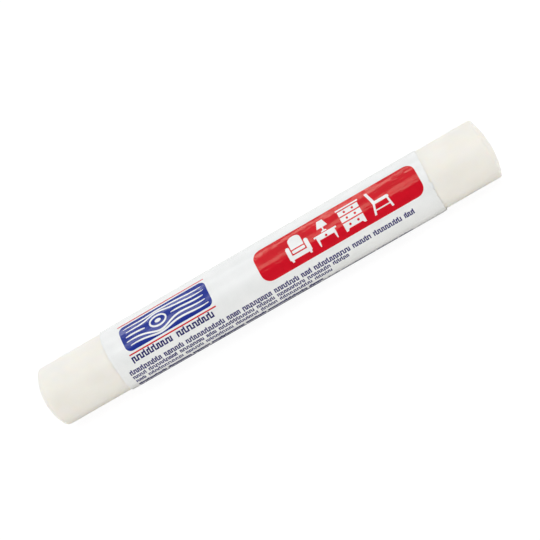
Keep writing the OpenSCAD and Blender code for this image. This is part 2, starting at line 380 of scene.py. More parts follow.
def wax_material():
    """Off-white filler wax: soft mottling, light that sinks in, a dull satin skin."""
    made, tree, shader = new_material("wax")
    place = object_coords(tree)
    cloud = noise_node(tree, *WAX_CLOUD, place)
    grain = noise_node(tree, *WAX_GRAIN, place)
    skin = noise_node(tree, *WAX_SKIN, place)
    coarse = bump_node(tree, grain, *WAX_GRAIN_BUMP)
    normal = bump_node(tree, skin, *WAX_SKIN_BUMP, coarse)
    gloss = ramp_node(tree, grain, *WAX_ROUGHNESS)
    feed(tree, shader, ramp_node(tree, cloud, *WAX_COLOURS), gloss, normal)
    shader.inputs["IOR"].default_value = WAX_IOR
    shader.inputs["Specular IOR Level"].default_value = WAX_SPECULAR
    shader.inputs["Subsurface Weight"].default_value = WAX_SINK_SHARE
    shader.inputs["Subsurface Radius"].default_value = WAX_SINK_COLOURS
    shader.inputs["Subsurface Scale"].default_value = WAX_SINK_REACH
    return made


# The label stock: grain sizes with their detail, colours, roughness, and bump depth with its strength
PAPER_CLOUD = (3 * MM, 3)
PAPER_TOOTH = (0.06 * MM, 3)
PAPER_COLOURS = ((0.80, 0.815, 0.812), (0.84, 0.85, 0.848))
PAPER_ROUGHNESS = (0.23, 0.31)
PAPER_BUMP = (0.004 * MM, 0.3)
PAPER_SPECULAR = 0.3


def paper_material():
    """Coated white label stock, with a soft gloss and a faint tooth."""
    made, tree, shader = new_material("label_white")
    place = object_coords(tree)
    cloud = noise_node(tree, *PAPER_CLOUD, place)
    tooth = noise_node(tree, *PAPER_TOOTH, place)
    normal = bump_node(tree, tooth, *PAPER_BUMP, streak_bump(tree, place))
    gloss = ramp_node(tree, tooth, *PAPER_ROUGHNESS)
    feed(tree, shader, ramp_node(tree, cloud, *PAPER_COLOURS), gloss, normal)
    shader.inputs["Specular IOR Level"].default_value = PAPER_SPECULAR
    return made


# The adhesive: grain size with its detail, colours and roughness
GLUE_CLOUD = (0.8 * MM, 3)
GLUE_COLOURS = ((0.62, 0.58, 0.46), (0.72, 0.69, 0.58))
GLUE_ROUGHNESS = (0.2, 0.4)


def glue_material():
    """Clear, slightly yellow adhesive."""
    made, tree, shader = new_material("adhesive")
    cloud = noise_node(tree, *GLUE_CLOUD, object_coords(tree))
    gloss = ramp_node(tree, cloud, *GLUE_ROUGHNESS)
    feed(tree, shader, ramp_node(tree, cloud, *GLUE_COLOURS), gloss)
    return made


# All inks: grain sizes with their detail, bump depth with its strength, spread of the roughness
INK_CLOUD = (2.2 * MM, 3)
INK_TOOTH = (0.09 * MM, 3)
INK_BUMP = (0.002 * MM, 0.2)
INK_IOR = 1.5
INK_SPREAD = 0.03
# Each ink: darkest and lightest colour, roughness, gain of the label's wrinkles, tint of reflections
RED_INK = ((0.56, 0.004, 0.016), (0.64, 0.006, 0.020), 0.15, 2.5, (1.0, 0.86, 0.66))
BLUE_INK = ((0.010, 0.026, 0.25), (0.014, 0.034, 0.29), 0.16, 2.5, (1, 1, 1))
NAVY_INK = ((0.020, 0.018, 0.12), (0.028, 0.025, 0.15), 0.22, 1, (1, 1, 1))


def ink_material(name, dark, light, roughness, gain, tint):
    """Glossy printed ink, a little uneven in depth."""
    made, tree, shader = new_material(name)
    place = object_coords(tree)
    cloud = noise_node(tree, *INK_CLOUD, place)
    tooth = noise_node(tree, *INK_TOOTH, place)
    gloss = ramp_node(tree, tooth, roughness - INK_SPREAD, roughness + INK_SPREAD)
    normal = bump_node(tree, tooth, *INK_BUMP, streak_bump(tree, place, gain))
    feed(tree, shader, ramp_node(tree, cloud, dark, light), gloss, normal)
    shader.inputs["IOR"].default_value = INK_IOR
    shader.inputs["Specular Tint"].default_value = (*tint, 1)
    return made


# The cast wax: points round it, distance of its rings, and steps over its ends
WAX_ROUND = 288
WAX_STEP = 0.35 * MM
CROWN_STEPS = 26
EDGE_STEPS = 8
# Slants of its two ends, which fade over this length
LEFT_SLANT = 0.026
RIGHT_SLANT = 0.014
SLANT_REACH = 6 * MM
# How far it lies inside the CAD wax, and its shallow waves, dents and air pits
WAX_SHRINK = 0.012 * MM
WAX_WAVE = 0.007 * MM
WAX_WAVE_SIZE = 9 * MM
WAX_DENT = 0.006 * MM
WAX_DENT_SIZE = 2.6 * MM
WAX_DENT_SHIFT = ALONG * 9
PIT_COUNT = 46
PIT_SEED = 5
PIT_SIZES = (0.12 * MM, 0.3 * MM)
PIT_DEPTH_SHARE = 0.12


def crown_points(crown, edge):
    """Distance from the stick's middle and radius of points over one end, from the side to the tip."""
    radius = WAX_RADIUS - WAX_SHRINK
    half = HALF_LENGTH - WAX_SHRINK
    ball = (radius ** 2 + crown ** 2) / (2 * crown)
    middle = half - ball
    edge_radius = radius - edge
    edge_place = middle + math.sqrt((ball - edge) ** 2 - edge_radius ** 2)
    meeting = math.atan2(edge_place - middle, edge_radius)
    points = []
    for i in range(EDGE_STEPS):
        turn = meeting * i / EDGE_STEPS
        points.append((edge_place + edge * math.sin(turn), edge_radius + edge * math.cos(turn)))
    for i in range(CROWN_STEPS):
        turn = meeting + (QUARTER_TURN - meeting) * i / CROWN_STEPS
        points.append((middle + ball * math.sin(turn), ball * math.cos(turn)))
    return points


def wax_pits():
    """Tiny air pits in the cast skin: place along, turn, radius."""
    draw = random.Random(PIT_SEED)
    spans = ((-HALF_LENGTH, HALF_LENGTH), (0, FULL_TURN), PIT_SIZES)
    return [tuple(draw.uniform(*span) for span in spans) for _ in range(PIT_COUNT)]


def wax_point(x, radius, turn, pits):
    """Point on the wax, with its waves, its dents and the pits near it."""
    out = around(turn)
    place = Vector((x, 0, 0)) + out * radius
    wave = noise.noise(place / WAX_WAVE_SIZE) - 1
    dent = noise.noise(place / WAX_DENT_SIZE + WAX_DENT_SHIFT) - 1
    shift = (WAX_WAVE * wave + WAX_DENT * dent) / 2
    for along, pit_turn, size in pits:
        gap = math.hypot(x - along, radius * math.remainder(turn - pit_turn, FULL_TURN))
        shift -= PIT_DEPTH_SHARE * size * (1 - smooth_step(gap / size))
    share = radius / WAX_RADIUS
    slant = LEFT_SLANT if x < 0 else RIGHT_SLANT
    close = 1 - smooth_step((HALF_LENGTH - abs(x)) / SLANT_REACH)
    slide = -math.copysign(slant, x) * close * radius * math.sin(turn)
    return Vector((x + slide, 0, AXIS_Z)) + out * (radius + shift * share)


def wax_mesh():
    """The cast stick: rings of points from the left tip to the right one."""
    left = [(-x, r) for x, r in crown_points(LEFT_CROWN, LEFT_EDGE)]
    right = crown_points(RIGHT_CROWN, RIGHT_EDGE)
    straight = right[0][0] - left[0][0]
    steps = int(straight / WAX_STEP)
    side = [(left[0][0] + straight * i / steps, left[0][1]) for i in range(1, steps)]
    rings = left[::-1] + side + right
    pits = wax_pits()
    tips = (-HALF_LENGTH + WAX_SHRINK, HALF_LENGTH - WAX_SHRINK)
    turns = [FULL_TURN * i / WAX_ROUND for i in range(WAX_ROUND)]
    mesh = bmesh.new()
    rows = []
    for x, radius in rings:
        near = [(along, turn, size) for along, turn, size in pits if abs(along - x) < size]
        rows.append([mesh.verts.new(wax_point(x, radius, turn, near)) for turn in turns])
    for a, b in zip(rows, rows[1:]):
        for i in range(WAX_ROUND):
            j = (i + 1) % WAX_ROUND
            mesh.faces.new((a[i], a[j], b[j], b[i]))
    for row, tip, flip in ((rows[0], tips[0], True), (rows[-1], tips[1], False)):
        point = mesh.verts.new((tip, 0, AXIS_Z))
        for i in range(WAX_ROUND):
            j = (i + 1) % WAX_ROUND
            mesh.faces.new((row[j], row[i], point) if flip else (row[i], row[j], point))
    return mesh_from(mesh, "wax_stick_cast")


# The label sheet, from its start edge under the lap, once round and over that edge
SHEET_STEP_ROUND = 0.1 * MM
SHEET_STEP_ALONG = 0.4 * MM
SEAM_START = (math.pi + math.radians(15)) * LABEL_RADIUS
SHEET_LENGTH = FULL_TURN * LABEL_RADIUS + LAP
SHARP_EDGE = math.radians(40)
# Length over which it steps up at the lap, and how unevenly its end stands off there
RAMP = 0.9 * MM
LAP_LIFT, LAP_LIFT_SIZE, LAP_SEED = 0.05 * MM, 8 * MM, 2.5
# The adhesive: how far it ends inside the cut edges and from the start edge, its gap under the film,
# and how far it reaches into the wax
GLUE_INSET = 0.03 * MM
GLUE_START = 0.2 * MM
GLUE_GAP = 0.004 * MM
GLUE_SUNK = 0.03 * MM


def lap_height(x, down):
    """Height of the sheet over the plain cylinder, this far from its start edge."""
    step = smooth_step((down - (SHEET_LENGTH - LAP - RAMP)) / RAMP) * (FILM + GLUE)
    free = smooth_step((down - (SHEET_LENGTH - RAMP)) / RAMP)
    wave = noise.noise(Vector((x / LAP_LIFT_SIZE, LAP_SEED, 0)))
    return step + free * LAP_LIFT * (1 + wave) / 2


def sheet_mesh(name, inset, top, bottom, start, stop):
    """Closed sheet between two depths below the label's face and two distances from its start edge."""
    across = int((LABEL_WIDTH - 2 * inset) / SHEET_STEP_ALONG)
    steps = int((stop - start) / SHEET_STEP_ROUND)
    mesh = bmesh.new()
    faces = []
    for depth in (top, bottom):
        grid = []
        for j in range(steps + 1):
            down = start + (stop - start) * j / steps
            arc = SEAM_START - down
            left, right = cut_edge(-1, arc) + inset, cut_edge(1, arc) - inset
            places = [left + (right - left) * i / across for i in range(across + 1)]
            grid.append([mesh.verts.new(on_label(x, arc, lap_height(x, down) - depth)) for x in places])
        faces.append(grid)
    for grid in faces:
        for a, b in zip(grid, grid[1:]):
            for i in range(across):
                mesh.faces.new((a[i], a[i + 1], b[i + 1], b[i]))
    upper, lower = faces
    for row_up, row_low in ((upper[0], lower[0]), (upper[-1], lower[-1])):
        for i in range(across):
            mesh.faces.new((row_up[i], row_up[i + 1], row_low[i + 1], row_low[i]))
    for i in (0, across):
        for j in range(steps):
            mesh.faces.new((upper[j][i], upper[j + 1][i], lower[j + 1][i], lower[j][i]))
    return mesh_from(mesh, name, SHARP_EDGE)


# Print, drawn flat in along and round coordinates and then laid on the label
# The ink's top and bottom over the label's face, and the cells that it is cut into to bend
INK_TOP, INK_ROOT = 0.014 * MM, -0.012 * MM
CELL_ROUND, CELL_ALONG = 0.22 * MM, 0.8 * MM
# In the flat meshes, in millimetres: how near points are joined, and how near a cut a point lies on it
JOIN_NEARNESS = 1e-5
CUT_NEARNESS = 1e-6


def flat_mesh(outlines):
    """Flat filled mesh in millimetres from closed outlines.

    An outline inside another is a hole, and one in a hole is filled.
    """
    curve = bpy.data.curves.new("outline", "CURVE")
    curve.dimensions = "2D"
    curve.fill_mode = "FRONT"
    for outline in outlines:
        spline = curve.splines.new("POLY")
        spline.points.add(len(outline) - 1)
        for point, (x, arc) in zip(spline.points, outline):
            point.co = (x / MM, arc / MM, 0, 1)
        spline.use_cyclic_u = True
    holder = bpy.data.objects.new("outline", curve)
    data = bpy.data.meshes.new_from_object(holder)
    mesh = bmesh.new()
    mesh.from_mesh(data)
    bpy.data.objects.remove(holder)
    bpy.data.curves.remove(curve)
    bpy.data.meshes.remove(data)
    bmesh.ops.remove_doubles(mesh, verts=mesh.verts, dist=JOIN_NEARNESS)
    return mesh


def cut_in_cells(mesh):
    """Cuts a flat mesh along lines close enough together to bend round the stick."""
    for axis, cell in ((0, CELL_ALONG / MM), (1, CELL_ROUND / MM)):
        low = min(v.co[axis] for v in mesh.verts)
        high = max(v.co[axis] for v in mesh.verts)
        normal = Vector((0, 0, 0))
        normal[axis] = 1
        for i in range(math.ceil(low / cell), math.floor(high / cell) + 1):
            bmesh.ops.bisect_plane(
                mesh, geom=mesh.verts[:] + mesh.edges[:] + mesh.faces[:], dist=CUT_NEARNESS,
                plane_co=normal * (i * cell), plane_no=normal)


def lay_on_label(mesh, name):
    """Bends a flat mesh round the label as a thin closed skin, with the label's own normals on top."""
    cut_in_cells(mesh)
    mesh.verts.index_update()
    flat = [(v.co.x * MM, v.co.y * MM) for v in mesh.verts]
    tops = [[v.index for v in f.verts] for f in mesh.faces]
    for i, f in enumerate(mesh.faces):
        if f.normal.z < 0:
            tops[i].reverse()
    rim = []
    for e in mesh.edges:
        if len(e.link_faces) == 1:
            face = tops[e.link_faces[0].index]
            a, b = e.verts[0].index, e.verts[1].index
            if face[(face.index(a) + 1) % len(face)] != b:
                a, b = b, a
            rim.append((a, b))
    mesh.free()
    count = len(flat)
    points = [on_label(x, arc, lift) for lift in (INK_TOP, INK_ROOT) for x, arc in flat]
    bottoms = [[i + count for i in reversed(f)] for f in tops]
    walls = [[b, a, a + count, b + count] for a, b in rim]
    data = bpy.data.meshes.new(name)
    data.from_pydata(points, [], tops + bottoms + walls)
    data.shade_smooth()
    normals = [label_normal(x, arc) for x, arc in flat]
    blank = Vector((0, 0, 0))
    shown = [normals[i] for f in tops for i in f]
    data.normals_split_custom_set(shown + [blank for f in bottoms + walls for _ in f])
    return data


def box_outline(left, right, low, high):
    """Upright rectangle."""
    return [(left, low), (right, low), (right, high), (left, high)]


# Steps round each corner of a panel
CORNER_STEPS = 8


def panel_outline(middle, rise, width, height, corner):
    """Rectangle with round corners."""
    points = []
    for i, (sx, sy) in enumerate(((1, 1), (-1, 1), (-1, -1), (1, -1))):
        cx, cy = middle + sx * (width / 2 - corner), rise + sy * (height / 2 - corner)
        for k in range(CORNER_STEPS + 1):
            turn = QUARTER_TURN * (i + k / CORNER_STEPS)
            points.append((cx + corner * math.cos(turn), cy + corner * math.sin(turn)))
    return points


# Layout of the print, as in the CAD model
BLUE_WIDTH, BLUE_HEIGHT, BLUE_CORNER = 17.2 * MM, 5.0 * MM, 1.1 * MM
BLUE_INSET, BLUE_RISE = 3.6 * MM, 2.7 * MM
PANEL_GAP = 9.3 * MM
RED_HEIGHT, RED_CORNER = 6.2 * MM, 1.7 * MM
RED_INSET, RED_RISE = 1.5 * MM, 1.65 * MM
RED_WIDTH = LABEL_WIDTH - BLUE_INSET - BLUE_WIDTH - PANEL_GAP - RED_INSET
BLUE_MIDDLE = LABEL_LEFT + BLUE_INSET + BLUE_WIDTH / 2
RED_MIDDLE = LABEL_RIGHT - RED_INSET - RED_WIDTH / 2
PICTURE_HEIGHT = 4.4 * MM
PICTURE_WIDTH, PICTURE_PITCH = 0.138 * RED_WIDTH, 0.168 * RED_WIDTH
PICTURE_BASE = RED_RISE - PICTURE_HEIGHT / 2
RULE, RULE_GAP = 0.25 * MM, 0.35 * MM
HEADING_HEIGHT, HEADING_GAP = 1.0 * MM, 0.35 * MM
LEAD_HEIGHT, SMALL_HEIGHT = 0.85 * MM, 0.7 * MM
SMALL_PITCH, SMALL_DROP, SMALL_INSET = 1.15 * MM, 3.3 * MM, 1.9 * MM
WORD_GAP = 0.6 * MM
LOWER_RULE = BLUE_RISE - BLUE_HEIGHT / 2 - RULE_GAP - RULE
UPPER_RULE = BLUE_RISE + BLUE_HEIGHT / 2 + RULE_GAP
WORD_SHARES = [0.1, 0.06, 0.12, 0.04, 0.09, 0.075, 0.03, 0.11, 0.055, 0.085, 0.07, 0.05]
FINE_LINE_SHARES = [0.89, 0.68, 0.62, 0.59]
DIRECTIONS_LINE_SHARES = [0.86, 0.9, 0.82, 0.5]
HEADING_BAR_SHARES = [0.46, 0.42]
# How many words further each line of small print starts in the row of words
BAR_SHIFT = 3

# The marks that stand for words: distance from stroke to stroke, and width of a stroke
HEADING_MARKS = (0.5 * MM, 0.27 * MM)
LEAD_MARKS = (0.38 * MM, 0.22 * MM)
SMALL_MARKS = (0.34 * MM, 0.19 * MM)
# Marks of the bold lines: print, made heavy enough to paint shade along the label's lower rim as well
PRINT_AND_SHADE_MARKS = (0.4 * MM, 0.34 * MM)
# The lines from this one on lie a little lower, and the first two of them are in bold: heavier print
# that also stands in for painted shade along the label's lower rim
LOW_LINE, LOW_SHIFT, PRINT_AND_SHADE_LINES = 3, 0.32 * MM, (3, 4)
# How far a word in bold reaches into the gaps beside it, darkening the lower rim further as painted
# shade
PRINT_AND_SHADE_REACH = 0.12 * MM
# How far a tall or a deep stroke reaches past the rest, as a share of the height, and how many do
TALL_SHARE, TALL_CHANCE = 0.28, 0.3
DEEP_SHARE, DEEP_CHANCE = 0.2, 0.12
# How much the gaps between the strokes of a word differ: least and greatest weight
GAP_WEIGHTS = (0.6, 1.5)
# Seeds of the strokes in the heading, the fine print and the directions
HEADING_SEED, FINE_SEED, DIRECTIONS_SEED = 11, 12, 13

# Outlines of the furniture pictures, as shares of a picture's width and height
ARMCHAIR = [
    [(0.22, 0.47), (0.78, 0.47), (0.78, 0.8), (0.76, 0.87), (0.7, 0.93), (0.61, 0.97), (0.5, 0.98),
     (0.39, 0.97), (0.3, 0.93), (0.24, 0.87), (0.22, 0.8)],
    [(0.24, 0.3), (0.76, 0.3), (0.78, 0.32), (0.78, 0.4), (0.76, 0.42), (0.24, 0.42), (0.22, 0.4),
     (0.22, 0.32)],
    [(0.05, 0.08), (0.06, 0), (0.14, 0), (0.15, 0.08), (0.85, 0.08), (0.86, 0), (0.94, 0), (0.95, 0.08),
     (1, 0.12), (1, 0.56), (0.97, 0.62), (0.91, 0.64), (0.85, 0.62), (0.83, 0.57), (0.83, 0.25),
     (0.17, 0.25), (0.17, 0.57), (0.15, 0.62), (0.09, 0.64), (0.03, 0.62), (0, 0.56), (0, 0.12)]]
TABLE = [
    [(0, 0.45), (0, 0.38), (0.08, 0.38), (0.08, 0.24), (0.1, 0), (0.15, 0), (0.18, 0.24), (0.82, 0.24),
     (0.85, 0), (0.9, 0), (0.92, 0.24), (0.92, 0.38), (1, 0.38), (1, 0.45)],
    [(0.38, 0.48), (0.62, 0.48), (0.6, 0.53), (0.53, 0.55), (0.53, 0.66), (0.74, 0.66), (0.62, 0.98),
     (0.38, 0.98), (0.26, 0.66), (0.47, 0.66), (0.47, 0.55), (0.4, 0.53)]]
CHEST = [
    [(0, 0.91), (1, 0.91), (1, 0.98), (0, 0.98)],
    [(0.05, 0.65), (0.95, 0.65), (0.95, 0.86), (0.05, 0.86)],
    [(0.05, 0.39), (0.95, 0.39), (0.95, 0.6), (0.05, 0.6)],
    [(0.05, 0), (0.14, 0), (0.2, 0.08), (0.8, 0.08), (0.86, 0), (0.95, 0), (0.95, 0.34), (0.05, 0.34)]]
CHAIR = [
    [(0.08, 0.98), (0.13, 0.8), (0.19, 0.6), (0.22, 0.42), (0.1, 0), (0.19, 0), (0.23, 0.14),
     (0.85, 0.14), (0.87, 0), (0.96, 0), (0.9, 0.4), (0.94, 0.44), (0.92, 0.5), (0.86, 0.52),
     (0.34, 0.52), (0.31, 0.62), (0.25, 0.8), (0.2, 0.98)],
    [(0.245, 0.19), (0.845, 0.19), (0.82, 0.4), (0.31, 0.4)]]
TABLE_KNOBS = [(0.5, 0.31)]
CHEST_KNOBS = [(x, y) for y in (0.755, 0.495, 0.21) for x in (0.32, 0.68)]
KNOB_RADIUS = 0.05 * PICTURE_WIDTH
KNOB_STEPS = 20
PICTURES = [(ARMCHAIR, []), (TABLE, TABLE_KNOBS), (CHEST, CHEST_KNOBS), (CHAIR, [])]

# Wood grain in the blue panel, as shares of its half width and half height
# Each line has its left end, right end, height and swell round the knot
GRAIN_LINES = [
    (-0.9, 0.9, 0.66, 0.14), (-0.86, 0.92, 0.33, 0.33), (0.14, 0.88, 0, 0),
    (-0.9, -0.46, 0, 0), (-0.92, 0.88, -0.33, -0.33), (-0.87, 0.92, -0.66, -0.14)]
GRAIN_STROKE = 0.34 * MM
GRAIN_WAVE = 0.05
GRAIN_STEPS = 48
# Share of the stroke that is left at a line's ends, and how late a line tapers
GRAIN_END, GRAIN_TAPER = 0.4, 4
# The knot's place and how far the lines swell beside it, and the half sizes of its ring and its eye
KNOT_PLACE, KNOT_SPREAD = -0.16, 0.27
KNOT_RING = (0.18, 0.36)
KNOT_EYE = (0.07, 0.13)


def oval_outline(x, arc, across, up, steps):
    """Oval round a place, with its two half sizes."""
    turns = [FULL_TURN * i / steps for i in range(steps)]
    return [(x + across * math.cos(turn), arc + up * math.sin(turn)) for turn in turns]


def picture_outlines(shapes, knobs, left):
    """Outlines of one picture from its left side."""
    def spread(shares):
        """Places of points that are given as shares of the picture."""
        return [(left + x * PICTURE_WIDTH, PICTURE_BASE + y * PICTURE_HEIGHT) for x, y in shares]

    found = [spread(shape) for shape in shapes]
    for x, arc in spread(knobs):
        found.append(oval_outline(x, arc, KNOB_RADIUS, KNOB_RADIUS, KNOB_STEPS))
    return found


def grain_line(start, stop, height, swell):
    """Outline of one line of the wood grain, thinner towards its ends."""
    upper, lower = [], []
    for i in range(GRAIN_STEPS + 1):
        place = start + (stop - start) * i / GRAIN_STEPS
        rise = height + swell * bump_at(place, KNOT_PLACE, KNOT_SPREAD)
        rise += GRAIN_WAVE * math.sin(FULL_TURN * place)
        half = GRAIN_STROKE / 2 * (1 - (1 - GRAIN_END) * (2 * i / GRAIN_STEPS - 1) ** GRAIN_TAPER)
        x, arc = BLUE_MIDDLE + BLUE_WIDTH / 2 * place, BLUE_RISE + BLUE_HEIGHT / 2 * rise
        upper.append((x, arc + half))
        lower.append((x, arc - half))
    return upper + lower[::-1]


def knot_outline(half_shares, shift):
    """Oval round the knot, moved in or out."""
    across = BLUE_WIDTH / 2 * half_shares[0] + shift
    up = BLUE_HEIGHT / 2 * half_shares[1] + shift
    return oval_outline(BLUE_MIDDLE + BLUE_WIDTH / 2 * KNOT_PLACE, BLUE_RISE, across, up, GRAIN_STEPS)


def red_panel_outlines():
    """The red panel with its row of pictures."""
    first = RED_MIDDLE - (len(PICTURES) - 1) / 2 * PICTURE_PITCH - PICTURE_WIDTH / 2
    found = [panel_outline(RED_MIDDLE, RED_RISE, RED_WIDTH, RED_HEIGHT, RED_CORNER)]
    for i, (shapes, knobs) in enumerate(PICTURES):
        found += picture_outlines(shapes, knobs, first + i * PICTURE_PITCH)
    return found


def blue_panel_outlines():
    """The blue panel with its wood grain."""
    found = [panel_outline(BLUE_MIDDLE, BLUE_RISE, BLUE_WIDTH, BLUE_HEIGHT, BLUE_CORNER)]
    found += [grain_line(*line) for line in GRAIN_LINES]
    found += [knot_outline(KNOT_RING, GRAIN_STROKE / 2), knot_outline(KNOT_RING, -GRAIN_STROKE / 2)]
    return found + [knot_outline(KNOT_EYE, 0)]


def rule_outlines():
    """The thin rules above and below the blue panel."""
    left, right = BLUE_MIDDLE - BLUE_WIDTH / 2, BLUE_MIDDLE + BLUE_WIDTH / 2
    return [box_outline(left, right, low, low + RULE) for low in (LOWER_RULE, UPPER_RULE)]


def bar_places(left, right, bars, gap, first):
    """Ends of the bars of one row, the same as in the CAD model."""
    found, start = [], left
    for i in range(2 * len(bars)):
        if start + gap >= right:
            break
        stop = start + bars[(first + i) % len(bars)]
        found.append((start, min(right, stop)))
        start = stop + gap
    return found


def meander(left, low, height, stroke, gaps, rises, drops):
    """Outline of a square wave: upright strokes joined in turn at the top and at the foot."""
    upper, lower = [], []
    x = left
    high = low + height
    for i, (rise, drop) in enumerate(zip(rises, drops)):
        last = i == len(gaps)
        top, foot = high + rise, low - drop
        joined_high = i % 2 == 0
        upper += [(x, top), (x + stroke, top)]
        lower += [(x, foot), (x + stroke, foot)]
        if last:
            break
        step = x + stroke + gaps[i]
        if joined_high:
            upper += [(x + stroke, high), (step, high)]
            lower += [(x + stroke, high - stroke), (step, high - stroke)]
        else:
            upper += [(x + stroke, low + stroke), (step, low + stroke)]
            lower += [(x + stroke, low), (step, low)]
        x = step
    return upper + lower[::-1]


def word_outline(left, right, low, height, pitch, stroke, draw):
    """A meander with uneven teeth that fills a word's place, and spells nothing."""
    count = max(2, round((right - left) / pitch))
    weights = [draw.uniform(*GAP_WEIGHTS) for _ in range(count)]
    space = right - left - (count + 1) * stroke
    gaps = [space * w / sum(weights) for w in weights]
    rises, drops = [], []
    for i in range(count + 1):
        tall = draw.random()
        rises.append(height * TALL_SHARE if tall < TALL_CHANCE and i % 2 else 0.0)
        drops.append(height * DEEP_SHARE if tall > 1 - DEEP_CHANCE and i % 2 == 0 else 0.0)
    return meander(left, low, height, stroke, gaps, rises, drops)


def small_outlines(line_shares, first_line, draw):
    """Lines of small print, from their lengths as shares of the label's width."""
    bars = [share * LABEL_WIDTH for share in WORD_SHARES]
    left = LABEL_LEFT + SMALL_INSET
    found = []
    for i, share in enumerate(line_shares):
        line = first_line + i
        # The bold lines at the lower rim are print and painted shade at once
        print_and_shade = line in PRINT_AND_SHADE_LINES
        height = SMALL_HEIGHT if line else LEAD_HEIGHT
        marks = PRINT_AND_SHADE_MARKS if print_and_shade else SMALL_MARKS if line else LEAD_MARKS
        low = -SMALL_DROP - SMALL_PITCH * line - height / 2 - (LOW_SHIFT if line >= LOW_LINE else 0)
        reach = PRINT_AND_SHADE_REACH if print_and_shade else 0
        first_bar = first_line + BAR_SHIFT * i
        for start, stop in bar_places(left, left + LABEL_WIDTH * share, bars, WORD_GAP, first_bar):
            found.append(word_outline(start - reach, stop + reach, low, height, *marks, draw))
    return found


def heading_outlines(draw):
    """The heading's words under the blue panel."""
    bars = [share * BLUE_WIDTH for share in HEADING_BAR_SHARES]
    gap = (BLUE_WIDTH - sum(bars)) / len(bars)
    left = BLUE_MIDDLE - BLUE_WIDTH / 2
    low = LOWER_RULE - HEADING_GAP - HEADING_HEIGHT
    found = []
    for start, stop in bar_places(left, left + BLUE_WIDTH, bars, gap, 0):
        found.append(word_outline(start, stop, low, HEADING_HEIGHT, *HEADING_MARKS, draw))
    return found


def add_print(name, outlines, material, node):
    """Adds one piece of ink."""
    finish_piece(name, lay_on_label(flat_mesh(outlines), name), material, node)


# Floor, world and lamps
FLOOR_SIZE = 3
FLOOR_COLOUR = (0.80, 0.78, 0.74, 1)
# As the camera and reflections see it, the floor glows and takes a share of the light
FLOOR_GLOW = 0.9
FLOOR_SHARE = 0.15
# The floor's shade under the stick: how far from the middle it is darkest and ends, across and along
SHADE_REACH = (4.5 * MM, 7.5 * MM)
SHADE_ENDS = (HALF_LENGTH - 1 * MM, HALF_LENGTH)
# The dark core of the shadow where the label rests: where it ends across and along, from the middle,
# how fast it widens to the right, and the glow left in it
CONTACT_REACH = (2.38 * MM, 2.6 * MM)
CONTACT_ENDS = (LABEL_WIDTH / 2 - 1.4 * MM, LABEL_WIDTH / 2 - 0.4 * MM)
CONTACT_SLANT = 0.0045
CONTACT_GLOW = 0
# Strength of the soft light from all round
WORLD_FILL = 0.445
# The dim opening of the light tent round the camera: where it ends and where it is darkest, in degrees,
# and the light left there
OPENING = (42, 20)
OPENING_SHARE = 0.15
# Reflections see the white backdrop behind the stick: cosines where it is whole and where it ends
BACKDROP_SPAN = (-0.4, 0.0)
# Soft boxes: turn round the stick from the facing line, lean along it, distance, width, length,
# brightness
SOFT_BOXES = [
    (math.radians(31), 0.0, 350 * MM, 110 * MM, 500 * MM, 2.5),
    (math.radians(79), 0.0, 350 * MM, 60 * MM, 500 * MM, 4.4),
    (math.radians(125), 0.0, 450 * MM, 240 * MM, 500 * MM, 0.7),
    (math.radians(-20), 0.75, 450 * MM, 300 * MM, 300 * MM, 2.3),
    (math.radians(-20), -0.75, 450 * MM, 300 * MM, 300 * MM, 2.0),
    (math.radians(20), 0.995, 450 * MM, 300 * MM, 300 * MM, 0.45),
    (math.radians(20), -0.995, 450 * MM, 300 * MM, 300 * MM, 0.5),
]


def make_floor():
    """White floor that keeps the stick's soft shadow."""
    mesh = bmesh.new()
    bmesh.ops.create_grid(mesh, x_segments=1, y_segments=1, size=FLOOR_SIZE)
    floor = new_object("floor", mesh_from(mesh, "floor"))
    made, tree, shader = new_material("floor")
    tree.nodes.remove(shader)
    floor.data.materials.append(made)
    diffuse = tree.nodes.new("ShaderNodeBsdfDiffuse")
    diffuse.inputs["Color"].default_value = FLOOR_COLOUR
    shown = tree.nodes.new("ShaderNodeBsdfDiffuse")
    shown.inputs["Color"].default_value = (FLOOR_SHARE, FLOOR_SHARE, FLOOR_SHARE, 1)
    glow = tree.nodes.new("ShaderNodeEmission")
    glow.inputs["Strength"].default_value = FLOOR_GLOW
    tree.links.new(lit_part(tree), glow.inputs["Color"])
    both = tree.nodes.new("ShaderNodeAddShader")
    mix = tree.nodes.new("ShaderNodeMixShader")
    tree.links.new(shown.outputs[0], both.inputs[0])
    tree.links.new(glow.outputs[0], both.inputs[1])
    seen = ray_kind(tree, "Is Camera Ray", "Is Glossy Ray", "Is Transmission Ray")
    tree.links.new(seen, mix.inputs[0])
    tree.links.new(diffuse.outputs[0], mix.inputs[1])
    tree.links.new(both.outputs[0], mix.inputs[2])
    tree.links.new(mix.outputs[0], tree.nodes["Material Output"].inputs["Surface"])


